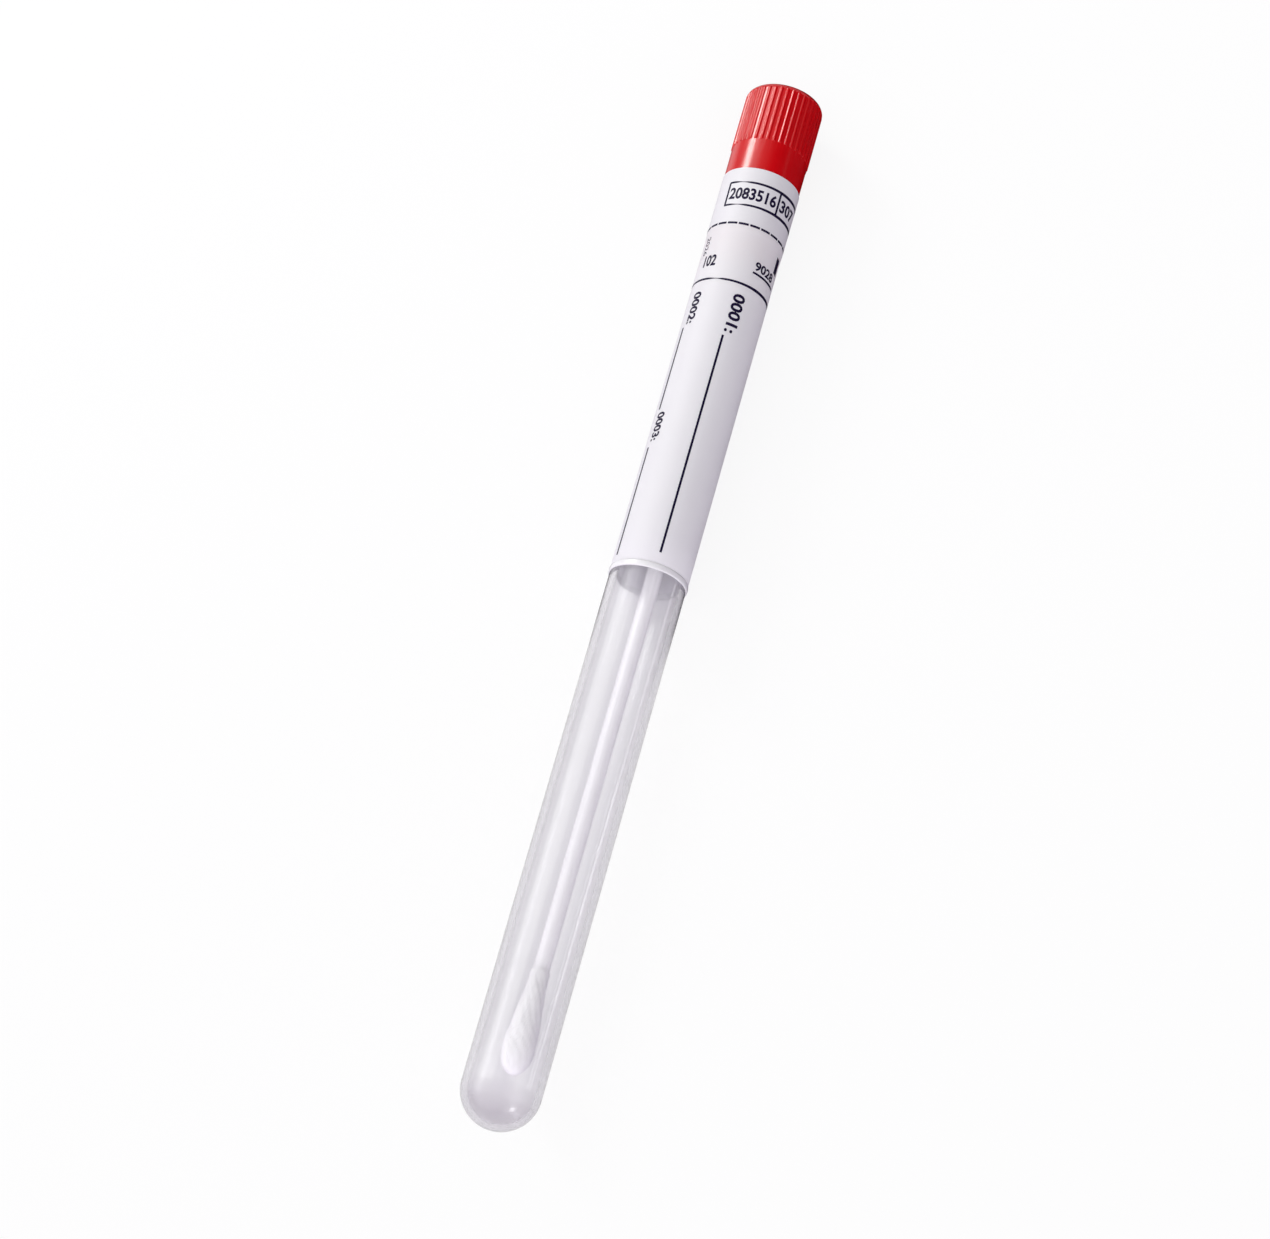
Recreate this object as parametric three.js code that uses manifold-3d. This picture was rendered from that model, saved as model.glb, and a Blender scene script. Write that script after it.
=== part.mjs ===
// A specimen swab tube, closed and lying on its side. Millimetres, +Z up, the tube along Y with its cap
// towards +Y. The origin is below the middle of the whole length, on the surface that the tube lies on.
import * as THREE from "three";
import { mergeVertices } from "three/addons/utils/BufferGeometryUtils.js";
import Module from "manifold-3d";

const wasm = await Module();
wasm.setup();

// The tube, with a round bottom.
const tubeRadius = 6;
const tubeWall = 1;
const tubeLength = 150; // from the outside of the bottom to the mouth
const mouthChamfer = 0.25;

// The cap, one moulding: a grip above the tube's mouth and a hollow plug in it.
const capHeight = 26.9; // above the mouth
const seatOverhang = 0.1; // how far the cap's lower edge stands out past the tube
const seatRound = 0.35;
const bandHeight = 15.9; // the smooth band, from the mouth to the ribs
const bandDraft = 0.1; // how much further out the band's top is than its foot
const ribCount = 39;
const ribWidth = 0.28;
const ribHeight = 0.15;
const ribOverlap = 0.1; // how far a rib runs into the rim
const rimHeight = 1.6; // the plain rim above the ribs, with its rounded edge
const topRound = 1.3;
const plugLength = 6.3;
const neckLength = 2.8; // the plug's narrower part, next to the mouth
const neckRelief = 0.2;
const plugRound = 1.3;
const plugClearance = 0.05; // between the plug's seal and the bore
const plugWall = 1.95;
const hollowDepth = 12; // inside the plug, from its end
const socketDepth = 12; // for the swab's shaft, beyond the hollow

// The label, one sheet wound round the mouth, torn along its perforation when the cap is pulled.
const labelAboveMouth = 10.3;
const labelBelowMouth = 61.3;
const labelThickness = 0.1;
const labelClearance = 0.02; // between the label and what it is stuck to
const tearGap = 0.04; // between the two halves, along the perforation
const hemWidth = 1; // the thicker band along the lower edge
const hemThickness = 0.16;

// The swab.
const shaftRadius = 1.25;
const shaftChamfer = 0.2;
const swabClearance = 0.05; // round the shaft, in the cap's socket and in the bud
const tipClearance = 7.5; // from the bud's tip to the inside of the tube's bottom
const budLength = 16;
const budShoulder = 3.8; // from the tip to where the bud is widest
const cottonThickness = 1.15; // round the shaft, where the bud is widest
const cottonEnd = 0.2; // round the shaft, at the bud's upper end
const cottonTip = 2; // from the tip to the shaft's end

// Flats round a full turn. One lies below and one above, and each touches the true circle.
const wideFacets = 24;
const slimFacets = 16;
const arcSteps = 8;

// Places along the tube, from the outside of its bottom.
const mouth = tubeLength;
const capTop = mouth + capHeight;
const ribTop = capTop - rimHeight;
const plugEnd = mouth - plugLength;
const socketTop = plugEnd + hollowDepth + socketDepth;
const budTip = tubeWall + tipClearance;

// Radii.
const boreRadius = tubeRadius - tubeWall;
const sealRadius = boreRadius - plugClearance;
const hollowRadius = sealRadius - plugWall;
const seatRadius = tubeRadius + seatOverhang;
const bandRadius = seatRadius + bandDraft;
const gripRadius = bandRadius + ribHeight;
const shaftSeatRadius = shaftRadius + swabClearance;

function point(radius, along) {
  return new THREE.Vector2(radius, along);
}

// Points on an arc in a profile, from one angle to another in degrees; 0 points away from the axis.
function arc(radius, along, size, from, to) {
  const points = [];
  for (let i = 0; i <= arcSteps; i++) {
    const angle = THREE.MathUtils.degToRad(from + ((to - from) * i) / arcSteps);
    points.push(point(radius + size * Math.cos(angle), along + size * Math.sin(angle)));
  }
  return points;
}

// Turns a profile round the Y axis into flats that touch the true circle.
function turned(profile, facets = wideFacets) {
  const half = Math.PI / facets;
  const geometry = new THREE.LatheGeometry(profile, facets, half);
  return geometry.scale(1 / Math.cos(half), 1, 1 / Math.cos(half));
}

function solidFrom(geometry) {
  const bare = geometry.clone();
  bare.deleteAttribute("normal");
  bare.deleteAttribute("uv");
  const merged = mergeVertices(bare);
  const vertProperties = new Float32Array(merged.attributes.position.array);
  const triVerts = new Uint32Array(merged.index.array);
  return new wasm.Manifold(new wasm.Mesh({ numProp: 3, vertProperties, triVerts }));
}

function geometryFrom(solid) {
  const { vertProperties, triVerts } = solid.getMesh();
  const geometry = new THREE.BufferGeometry();
  geometry.setAttribute("position", new THREE.BufferAttribute(vertProperties, 3));
  geometry.setIndex(new THREE.BufferAttribute(triVerts, 1));
  geometry.computeVertexNormals();
  return geometry;
}

function tube() {
  return turned([
    ...arc(0, tubeRadius, tubeRadius, -90, 0),
    point(tubeRadius, mouth - mouthChamfer),
    point(tubeRadius - mouthChamfer, mouth),
    point(boreRadius + mouthChamfer, mouth),
    point(boreRadius, mouth - mouthChamfer),
    ...arc(0, tubeRadius, boreRadius, 0, -90),
  ]);
}

// The radius of the cap's smooth band at a place along the tube.
function bandAt(along) {
  return seatRadius + (bandDraft * (along - mouth)) / bandHeight;
}

function capBody() {
  const neckRadius = sealRadius - neckRelief;
  return turned([
    point(0, socketTop),
    point(shaftSeatRadius, socketTop),
    point(shaftSeatRadius, plugEnd + hollowDepth),
    point(hollowRadius, plugEnd + hollowDepth),
    point(hollowRadius, plugEnd),
    ...arc(sealRadius - plugRound, plugEnd + plugRound, plugRound, -90, 0),
    point(sealRadius, mouth - neckLength),
    point(neckRadius, mouth - neckLength + neckRelief),
    point(neckRadius, mouth),
    ...arc(seatRadius - seatRound, mouth + seatRound, seatRound, -90, 0),
    point(bandRadius, mouth + bandHeight),
    point(bandRadius, ribTop),
    point(gripRadius, ribTop),
    ...arc(gripRadius - topRound, capTop - topRound, topRound, 0, 90),
    point(0, capTop),
  ]);
}

// One straight rib on the grip, at an angle round it; 0 is underneath.
function rib(angle) {
  const foot = mouth + bandHeight;
  const length = ribTop + ribOverlap - foot;
  const depth = 3 * ribHeight; // its root is sunk in the grip, so that it joins up
  const geometry = new THREE.BoxGeometry(ribWidth, length, depth);
  geometry.translate(0, foot + length / 2, -gripRadius + depth / 2);
  return geometry.rotateY(angle);
}

function cap() {
  let solid = solidFrom(capBody());
  for (let i = 0; i < ribCount; i++) {
    solid = solid.add(solidFrom(rib((2 * Math.PI * i) / ribCount)));
  }
  return geometryFrom(solid);
}

function labelCapBand() {
  const foot = mouth + tearGap / 2;
  const top = mouth + labelAboveMouth;
  const inner = (along) => bandAt(along) + labelClearance;
  return turned([
    point(inner(foot), foot),
    point(inner(foot) + labelThickness, foot),
    point(inner(top) + labelThickness, top),
    point(inner(top), top),
    point(inner(foot), foot),
  ]);
}

function labelTubeWrap() {
  const foot = mouth - labelBelowMouth;
  const top = mouth - tearGap / 2;
  const inner = tubeRadius + labelClearance;
  return turned([
    point(inner, foot),
    point(inner + hemThickness, foot),
    point(inner + hemThickness, foot + hemWidth),
    point(inner + labelThickness, foot + hemWidth),
    point(inner + labelThickness, top),
    point(inner, top),
    point(inner, foot),
  ]);
}

function swabShaft() {
  const foot = budTip + cottonTip;
  const top = socketTop - swabClearance;
  const profile = [
    point(0, foot),
    point(shaftRadius - shaftChamfer, foot),
    point(shaftRadius, foot + shaftChamfer),
    point(shaftRadius, top - shaftChamfer),
    point(shaftRadius - shaftChamfer, top),
    point(0, top),
  ];
  return turned(profile, slimFacets);
}

// The bud's outer radius, from its tip upwards: a round nose and then a long taper.
function budRadius(height) {
  const widest = shaftRadius + cottonThickness;
  const end = shaftRadius + cottonEnd;
  if (height < budShoulder) {
    return widest * Math.sqrt(1 - (1 - height / budShoulder) ** 2);
  }
  const share = (height - budShoulder) / (budLength - budShoulder);
  return end + ((widest - end) * (1 + Math.cos(Math.PI * share))) / 2;
}

function swabBud() {
  const profile = [];
  for (let i = 0; i < arcSteps; i++) {
    const height = budShoulder * (1 - Math.cos((Math.PI * i) / (2 * arcSteps)));
    profile.push(point(budRadius(height), budTip + height));
  }
  for (let i = 0; i <= arcSteps; i++) {
    const height = budShoulder + ((budLength - budShoulder) * i) / arcSteps;
    profile.push(point(budRadius(height), budTip + height));
  }
  profile.push(point(shaftSeatRadius, budTip + budLength));
  profile.push(point(shaftSeatRadius, budTip + cottonTip - swabClearance));
  profile.push(point(0, budTip + cottonTip - swabClearance));
  return turned(profile, slimFacets);
}

function material(color, roughness, opacity = 1) {
  const transparent = opacity < 1;
  return new THREE.MeshStandardMaterial({ color, roughness, metalness: 0, transparent, opacity });
}

const clearPlastic = material(0xe9ebef, 0.12, 0.35);
const redPlastic = material(0xc00d16, 0.25);
const labelFilm = material(0xeeedf2, 0.45);
const whitePlastic = material(0xf1f0ee, 0.35);
const cotton = material(0xf7f6f3, 0.95);

const swabTube = new THREE.Group();

function addPart(name, geometry, look) {
  const mesh = new THREE.Mesh(geometry, look);
  mesh.name = name;
  mesh.position.set(0, -capTop / 2, gripRadius);
  swabTube.add(mesh);
}

addPart("tube", tube(), clearPlastic);
addPart("label_tube_wrap", labelTubeWrap(), labelFilm);
addPart("cap", cap(), redPlastic);
addPart("label_cap_band", labelCapBand(), labelFilm);
addPart("swab_shaft", swabShaft(), whitePlastic);
addPart("swab_bud", swabBud(), cotton);

export default swabTube;
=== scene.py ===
import math
import random

import bmesh
import bpy
import numpy as np
from mathutils import Matrix, Vector


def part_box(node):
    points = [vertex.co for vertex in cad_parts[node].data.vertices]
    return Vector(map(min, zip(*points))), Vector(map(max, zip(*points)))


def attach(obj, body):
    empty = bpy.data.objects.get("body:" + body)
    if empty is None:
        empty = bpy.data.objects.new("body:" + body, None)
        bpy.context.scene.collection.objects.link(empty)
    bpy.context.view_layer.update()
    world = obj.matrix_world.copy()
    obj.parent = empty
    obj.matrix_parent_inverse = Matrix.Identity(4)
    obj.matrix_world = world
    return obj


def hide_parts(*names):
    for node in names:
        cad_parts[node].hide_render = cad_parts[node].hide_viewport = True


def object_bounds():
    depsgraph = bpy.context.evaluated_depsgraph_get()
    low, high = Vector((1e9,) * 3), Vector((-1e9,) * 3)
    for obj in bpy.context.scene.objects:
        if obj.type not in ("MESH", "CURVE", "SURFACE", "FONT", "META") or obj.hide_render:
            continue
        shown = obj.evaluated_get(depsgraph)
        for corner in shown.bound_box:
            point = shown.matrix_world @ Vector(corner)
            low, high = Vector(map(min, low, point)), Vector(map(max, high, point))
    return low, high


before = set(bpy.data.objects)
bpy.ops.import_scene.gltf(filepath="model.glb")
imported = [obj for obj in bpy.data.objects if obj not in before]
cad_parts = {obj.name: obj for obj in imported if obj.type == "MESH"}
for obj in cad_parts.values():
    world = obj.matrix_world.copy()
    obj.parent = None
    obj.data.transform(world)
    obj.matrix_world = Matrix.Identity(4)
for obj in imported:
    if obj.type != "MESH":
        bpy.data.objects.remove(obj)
cad_low, cad_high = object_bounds()

MM = 0.001
TUBE_BODY = "tube_body"
CAP_BODY = "cap_with_swab"

# ------------------------------------------------------------------ places and sizes

tube_low, tube_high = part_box("tube")
AXIS_X = (tube_low.x + tube_high.x) / 2
AXIS_Z = (tube_low.z + tube_high.z) / 2
BOTTOM_Y = tube_low.y
MIDDLE = (cad_low + cad_high) / 2


def along_of(y):
    """Millimetres along the tube, from the outside of its bottom."""
    return (y - BOTTOM_Y) / MM


def ends_of(node):
    """Where a node starts and stops along the tube."""
    low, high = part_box(node)
    return along_of(low.y), along_of(high.y)


def radius_of(node):
    """Half of a node's height, which is its widest radius, in millimetres."""
    low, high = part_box(node)
    return (high.z - low.z) / 2 / MM


# The tube.
TUBE_RADIUS = radius_of("tube")
WALL = 1.0
BORE_RADIUS = TUBE_RADIUS - WALL
MOUTH = along_of(tube_high.y)
MOUTH_ROUND = 0.25
MATT_LIP = (MOUTH - 0.3, MOUTH - 0.2)  # over which the wall turns matt, towards the mouth
PAINTED_SHADE_FOOT = (3.5, 6.5)  # over which the round bottom's painted shade fades out

# The cap.
PLUG_END, CAP_TOP = ends_of("cap")
GRIP_RADIUS = radius_of("cap")
RIB_HEIGHT = 0.15
RIB_COUNT = 39
RIB_WIDTH = 0.52
RIB_BACK = 0.45  # the share of a rib's width that is its back, between the flanks
RIB_CROWN = 0.12  # the share of its height by which the back is crowned
RIB_END = 0.1  # how far along it rises at its rounded foot
BAND_RADIUS = GRIP_RADIUS - RIB_HEIGHT
BAND_HEIGHT = 15.9
BAND_DRAFT = 0.1
SEAT_RADIUS = BAND_RADIUS - BAND_DRAFT
SEAT_ROUND = 0.35
RIM_HEIGHT = 0.95  # the plain part above the ribs
RIM_STEP = 0.12  # how far along the band rises to the rim, between the ribs
TOP_ROUND = 1.3
RIB_FOOT = MOUTH + BAND_HEIGHT
RIM_FOOT = CAP_TOP - RIM_HEIGHT
PLUG_CLEARANCE = 0.05  # between the plug's seal and the bore
SEAL_RADIUS = BORE_RADIUS - PLUG_CLEARANCE
NECK_LENGTH = 2.8
NECK_RELIEF = 0.2
PLUG_ROUND = 1.3
HOLLOW_RADIUS = 3.0
HOLLOW_DEPTH = 12.0
HOLLOW_ROUND = 0.2  # at the plug's open end
SOCKET_DEPTH = 12.0
SOCKET_CLEARANCE = 0.05  # round the swab's shaft

# The label, in two halves that meet at the mouth.
WRAP_FOOT, WRAP_TOP = ends_of("label_tube_wrap")
BAND_FOOT, BAND_TOP = ends_of("label_cap_band")
LABEL_THICKNESS = 0.1
LABEL_CLEARANCE = 0.02
HEM_WIDTH = 1.0
HEM_RISE = 0.11  # of the rolled edge's round back over the sheet
HEM_EDGE = 0.12  # the share of its width over which its lower edge is rounded
CREASE_WIDTH = 0.14  # of the pressed line above the rolled edge
CREASE_DEPTH = 0.05
FLARE_LENGTH = 2.5  # where the tube's half of the label swells to the cap's half
SLITS = 21  # the perforation's cuts
BRIDGE = 0.25  # the uncut film between two of them
BRIDGE_OFF = 1.5  # from the front line to the nearest bridge, in degrees
SLIT_DEPTH = 0.02  # how far a cut lies back from the torn line, on either half
SLIT_END = 0.5  # over how many degrees it ends at a bridge
FRAY = 0.012  # how uneven the torn edges are
COLUMN_STEP = 0.75  # between the label's columns of points, in degrees
SEAM = 225.0  # where the label's ends overlap
LAP = 2.0
LAP_RAMP = 1.2
LAP_CLEARANCE = 0.01

# The print. Its places are in degrees from the line that faces the camera, and in heights above the mouth.
FRONT = 6.5
PRINT_RADIUS = 6.2  # at which its flat layout is wound
INK_DEPTH = 0.01
INK_HEIGHT = 0.012
LINE = 0.36
BOLD_LINE = 0.42  # how wide the ruled lines on the left are
DASH_START = 0.005  # where the perforation's ink starts, to either side of the torn line
DASH_END = 0.19
STRIP = 0.3  # the widest face in it, round the tube
RING_STEP = 4.0  # the longest straight piece of a line round the label, in degrees
HIGHLIGHT_THINNING_ANGLE = -28.0  # where those lines are drawn thin, a painted highlight: less ink where the key lamp's highlight lies on the film
HIGHLIGHT_THINNING_REACH = 15.0
HIGHLIGHT_THINNING_LOSS = 0.25  # how much narrower they are there
BOLD_GAIN = 0.15  # how much wider they are far to the right

# The swab.
SHAFT_FOOT, SHAFT_TOP = ends_of("swab_shaft")
SHAFT_RADIUS = radius_of("swab_shaft")
SHAFT_ROUND = 0.2
BUD_TIP, BUD_END = ends_of("swab_bud")
BUD_RADIUS = radius_of("swab_bud")
BUD_LENGTH = BUD_END - BUD_TIP
BUD_SHOULDER = 3.8  # from the tip to where the bud is widest
COTTON_END = 0.2  # the cotton's thickness round the shaft, at its upper end
BUD_END_RADIUS = SHAFT_RADIUS + COTTON_END
COTTON_TIP = SHAFT_FOOT - BUD_TIP
BUD_CLEARANCE = 0.03  # between the cotton and the shaft in it
WISPS = 320
WISP_POINTS = 9
WISP_THICKNESS = 0.016
LEAN = 0.7  # how far the bud lies to the right of the tube's axis, because the shaft is not quite straight
LEAN_TOP = MOUTH  # where the shaft starts to lean
LEAN_FOOT = MOUTH - 70  # below which it runs along the tube again, at its full lean


# ------------------------------------------------------------------ meshes


def placed(radius, angle, along):
    """The points at radii, angles and places along the tube, in the frame's own metres."""
    turn = np.radians(angle)
    x = AXIS_X + radius * np.sin(turn) * MM
    y = BOTTOM_Y + along * MM + 0 * turn
    z = AXIS_Z + radius * np.cos(turn) * MM
    return np.stack(np.broadcast_arrays(x, y, z), axis=-1)


def arc(radius, along, size, start, end, steps=12):
    """A profile's round stretch. 0 degrees faces away from the axis and 90 towards the cap's top."""
    turns = np.radians(np.linspace(start, end, steps + 1))
    return [(radius + size * math.cos(t), along + size * math.sin(t)) for t in turns]


def straight(start, end, steps):
    """The points between a profile's start and end, in even steps, with the end but not the start."""
    shares = np.linspace(0, 1, steps + 1)[1:]
    return [(start[0] + (end[0] - start[0]) * s, start[1] + (end[1] - start[1]) * s) for s in shares]


def smooth(share):
    """A soft step from 0 to 1."""
    share = np.clip(share, 0, 1)
    return share * share * (3 - 2 * share)


def new_piece(name, vertices, faces, crease=40):
    """A smooth mesh object whose edges stay sharp where they bend by more than crease degrees."""
    mesh = bpy.data.meshes.new(name)
    mesh.from_pydata([tuple(v) for v in vertices], [], faces)
    shape = bmesh.new()
    shape.from_mesh(mesh)
    bmesh.ops.recalc_face_normals(shape, faces=shape.faces)
    shape.to_mesh(mesh)
    shape.free()
    mesh.shade_smooth()
    mesh.set_sharp_from_angle(angle=math.radians(crease))
    piece = bpy.data.objects.new(name, mesh)
    bpy.context.scene.collection.objects.link(piece)
    return piece


def ring_faces(rows, columns, first=0):
    """The quads between rings of points that close on themselves."""
    faces = []
    for i in range(rows - 1):
        for j in range(columns):
            a = first + i * columns + j
            b = first + i * columns + (j + 1) % columns
            faces.append((a, b, b + columns, a + columns))
    return faces


def turned(name, profile, angles, relief=None, crease=40):
    """A profile turned round the tube's axis. It starts and ends on the axis, or else closes on itself.
    relief changes the radii, given them with their angles and places."""
    radius, along = (np.array(c, float)[:, None] for c in zip(*profile))
    angle = np.array(angles, float)[None, :]
    poled = max(radius[0, 0], radius[-1, 0]) < 1e-6
    if poled:
        tips = [placed(0.0, 0.0, along[0, 0]), placed(0.0, 0.0, along[-1, 0])]
        radius, along = radius[1:-1], along[1:-1]
    if relief:
        radius = relief(radius, angle, along)
    points = placed(radius + 0 * angle, angle, along)
    rows, columns = points.shape[:2]
    vertices = list(points.reshape(-1, 3))
    faces = ring_faces(rows, columns)
    last = (rows - 1) * columns
    for j in range(columns):
        k = (j + 1) % columns
        if poled:
            faces.append((rows * columns, k, j))
            faces.append((rows * columns + 1, last + j, last + k))
        else:
            faces.append((last + j, last + k, k, j))
    if poled:
        vertices += tips
    return new_piece(name, vertices, faces, crease)


def even_angles(count):
    """Columns spread evenly round the tube."""
    return np.arange(count) * 360 / count


# ------------------------------------------------------------------ materials


def material(name):
    """A material with a Principled shader, which its maker fills in. Returns it with its tree and shader."""
    made = bpy.data.materials.new(name)
    made.use_nodes = True
    tree = made.node_tree
    return made, tree, tree.nodes["Principled BSDF"]


def node(tree, kind, **settings):
    """A node with its settings, which are its own or, where it has none of that name, its sockets'."""
    made = tree.nodes.new(kind)
    for key, value in settings.items():
        if hasattr(made, key):
            setattr(made, key, value)
        else:
            made.inputs[key.replace("_", " ")].default_value = value
    return made


def noise(tree, scale, stretch=(1, 1, 1), detail=3.0, roughness=0.55):
    """A noise in the object's own metres, squeezed along each axis by stretch. Returns its level."""
    where = node(tree, "ShaderNodeTexCoord")
    squeeze = node(tree, "ShaderNodeMapping", Scale=stretch)
    cloud = node(tree, "ShaderNodeTexNoise", Scale=scale, Detail=detail, Roughness=roughness)
    tree.links.new(where.outputs["Object"], squeeze.inputs["Vector"])
    tree.links.new(squeeze.outputs["Vector"], cloud.inputs["Vector"])
    return cloud.outputs["Fac"]


def between(tree, level, low, high, floor=0.3, ceiling=0.7):
    """A number from low to high as level goes from floor to ceiling."""
    ramp = node(tree, "ShaderNodeMapRange")
    for socket, value in zip(("From Min", "From Max", "To Min", "To Max"), (floor, ceiling, low, high)):
        ramp.inputs[socket].default_value = value
    tree.links.new(level, ramp.inputs["Value"])
    return ramp.outputs["Result"]


def mixed(tree, share, first, second):
    """A colour from first to second as share goes from 0 to 1. Either is a colour or a node's output."""
    mix = node(tree, "ShaderNodeMix", data_type="RGBA")
    tree.links.new(share, mix.inputs[0])
    for number, colour in ((6, first), (7, second)):  # the Mix node's colour sockets
        if isinstance(colour, tuple):
            mix.inputs[number].default_value = (*colour, 1)
        else:
            tree.links.new(colour, mix.inputs[number])
    return mix.outputs[2]


def blended(tree, level, first, second):
    """A colour from first to second as level goes from 0.3 to 0.7."""
    return mixed(tree, between(tree, level, 0, 1), first, second)


def combined(tree, operation, first, second, clamped=False):
    """A Math node's result from two levels."""
    made = node(tree, "ShaderNodeMath", operation=operation, use_clamp=clamped)
    tree.links.new(first, made.inputs[0])
    tree.links.new(second, made.inputs[1])
    return made.outputs["Value"]


def place_in(tree, space="Object"):
    """The X, Y and Z of a point on a surface, in metres. In the world's own tree, with space "Generated",
    they are those of the direction that is looked in."""
    where = node(tree, "ShaderNodeTexCoord")
    parts = node(tree, "ShaderNodeSeparateXYZ")
    tree.links.new(where.outputs[space], parts.inputs["Vector"])
    return parts.outputs


def mixed_shader(tree, share, first, second):
    """A mix of two shaders. The share of the second is a number or a node's output."""
    mix = node(tree, "ShaderNodeMixShader")
    if isinstance(share, float):
        mix.inputs["Fac"].default_value = share
    else:
        tree.links.new(share, mix.inputs["Fac"])
    tree.links.new(first, mix.inputs[1])
    tree.links.new(second, mix.inputs[2])
    return mix.outputs["Shader"]


def show(tree, surface):
    """Makes a shader the one that the material shows."""
    tree.links.new(surface, tree.nodes["Material Output"].inputs["Surface"])


def bumped(tree, level, distance):
    """A bump of that depth in metres."""
    bump = node(tree, "ShaderNodeBump", Strength=1.0, Distance=distance)
    tree.links.new(level, bump.inputs["Height"])
    return bump.outputs["Normal"]


def depth_in_wall(tree):
    """How far a place is from the tube's axis, or from the middle of its round bottom, in metres."""
    where = node(tree, "ShaderNodeTexCoord")
    middle = (AXIS_X, BOTTOM_Y + TUBE_RADIUS * MM, AXIS_Z)
    off = node(tree, "ShaderNodeVectorMath", operation="SUBTRACT")
    tree.links.new(where.outputs["Object"], off.inputs[0])
    off.inputs[1].default_value = middle
    nearer = node(tree, "ShaderNodeVectorMath", operation="MINIMUM")
    tree.links.new(off.outputs["Vector"], nearer.inputs[0])
    nearer.inputs[1].default_value = (1, 0, 1)
    length = node(tree, "ShaderNodeVectorMath", operation="LENGTH")
    tree.links.new(nearer.outputs["Vector"], length.inputs[0])
    return length.outputs["Value"]


def edge_of_glass(tree, low, high):
    """How much plastic is seen edge on: 0 where the surface faces the eye and 1 towards its outline."""
    weight = node(tree, "ShaderNodeLayerWeight", Blend=0.5)
    return between(tree, weight.outputs["Facing"], 0, 1, low, high)


def clear_plastic():
    """Clear plastic with faint drawn lines along it. It is greyer in its round bottom, which is painted
    shade, and where it is seen edge on, polished outside, duller in the bore and matt on the lip of its
    mouth."""
    made, tree, shader = material("clear_plastic")
    lines = noise(tree, 500, stretch=(1, 0.012, 1), detail=1)
    drawn = blended(tree, lines, (0.94, 0.94, 0.95), (1, 1, 1))
    along = place_in(tree)["Y"]
    # painted shade: the round bottom's colour is greyed where shade lies under and beside it
    foot = between(tree, along, 1, 0, BOTTOM_Y + PAINTED_SHADE_FOOT[0] * MM, BOTTOM_Y + PAINTED_SHADE_FOOT[1] * MM)
    painted_dome_shade = mixed(tree, foot, drawn, (0.81, 0.79, 0.82))
    edged = mixed(tree, edge_of_glass(tree, 0.38, 0.47), painted_dome_shade, (0.82, 0.81, 0.83))
    tree.links.new(edged, shader.inputs["Base Color"])
    shader.inputs["Transmission Weight"].default_value = 1.0
    shader.inputs["IOR"].default_value = 1.46
    haze = noise(tree, 160, stretch=(1, 0.25, 1))
    bore, outside = (BORE_RADIUS + 0.1) * MM, (TUBE_RADIUS - 0.1) * MM
    dullness = between(tree, depth_in_wall(tree), 0.07, 0, bore, outside)
    rough = combined(tree, "ADD", dullness, between(tree, haze, 0.05, 0.09))
    tree.links.new(rough, shader.inputs["Roughness"])
    depth = node(tree, "ShaderNodeVolumeAbsorption", Color=(0.4, 0.38, 0.44, 1), Density=42)
    tree.links.new(depth.outputs["Volume"], tree.nodes["Material Output"].inputs["Volume"])
    matt = node(tree, "ShaderNodeBsdfDiffuse", Color=(0.7, 0.69, 0.71, 1))
    lip = between(tree, along, 0, 0.8, BOTTOM_Y + MATT_LIP[0] * MM, BOTTOM_Y + MATT_LIP[1] * MM)
    wall = mixed_shader(tree, lip, shader.outputs["BSDF"], matt.outputs["BSDF"])
    show(tree, let_lamps_through(tree, wall))
    return made


def let_lamps_through(tree, surface):
    """Lets light cross the walls unbent on its way to what is inside."""
    path = node(tree, "ShaderNodeLightPath")
    either = combined(tree, "MAXIMUM", path.outputs["Is Shadow Ray"], path.outputs["Is Diffuse Ray"])
    open_wall = node(tree, "ShaderNodeBsdfTransparent", Color=(1, 1, 1, 1))
    return mixed_shader(tree, either, surface, open_wall.outputs["BSDF"])


def red_plastic():
    """Glossy red polyethylene with a faint mottle and the soft bloom of a moulded surface."""
    made, tree, shader = material("red_plastic")
    mottle = noise(tree, 220)
    face = blended(tree, mottle, (0.55, 0.0010, 0.003), (0.60, 0.0014, 0.0045))
    tree.links.new(face, shader.inputs["Base Color"])
    bloom = noise(tree, 700, detail=4)
    tree.links.new(between(tree, bloom, 0.19, 0.26), shader.inputs["Roughness"])
    shader.inputs["Specular IOR Level"].default_value = 0.7
    tree.links.new(bumped(tree, noise(tree, 600), 0.000001), shader.inputs["Normal"])
    return made


def label_film(name, dull, bright, glow_share):
    """White film with a satin face and a little of its fibre showing. It lets some light through."""
    made, tree, shader = material(name)
    cloud = noise(tree, 120, detail=5)
    face = blended(tree, cloud, dull, bright)
    tree.links.new(face, shader.inputs["Base Color"])
    fibre = noise(tree, 4200, stretch=(1, 0.4, 1), detail=3)
    shader.inputs["Specular IOR Level"].default_value = 0.25
    tree.links.new(between(tree, cloud, 0.42, 0.5), shader.inputs["Roughness"])
    tree.links.new(bumped(tree, fibre, 0.000004), shader.inputs["Normal"])
    glow = node(tree, "ShaderNodeBsdfTranslucent")
    tree.links.new(face, glow.inputs["Color"])
    show(tree, mixed_shader(tree, glow_share, shader.outputs["BSDF"], glow.outputs["BSDF"]))
    return made


def rolled_film():
    """The label's rolled edge, smoother where the film is stretched and too thick to let light through."""
    made, tree, shader = material("label_hem")
    cloud = noise(tree, 400, detail=4)
    face = blended(tree, cloud, (0.80, 0.80, 0.81), (0.83, 0.83, 0.835))
    tree.links.new(face, shader.inputs["Base Color"])
    tree.links.new(between(tree, cloud, 0.2, 0.3), shader.inputs["Roughness"])
    return made


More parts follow.
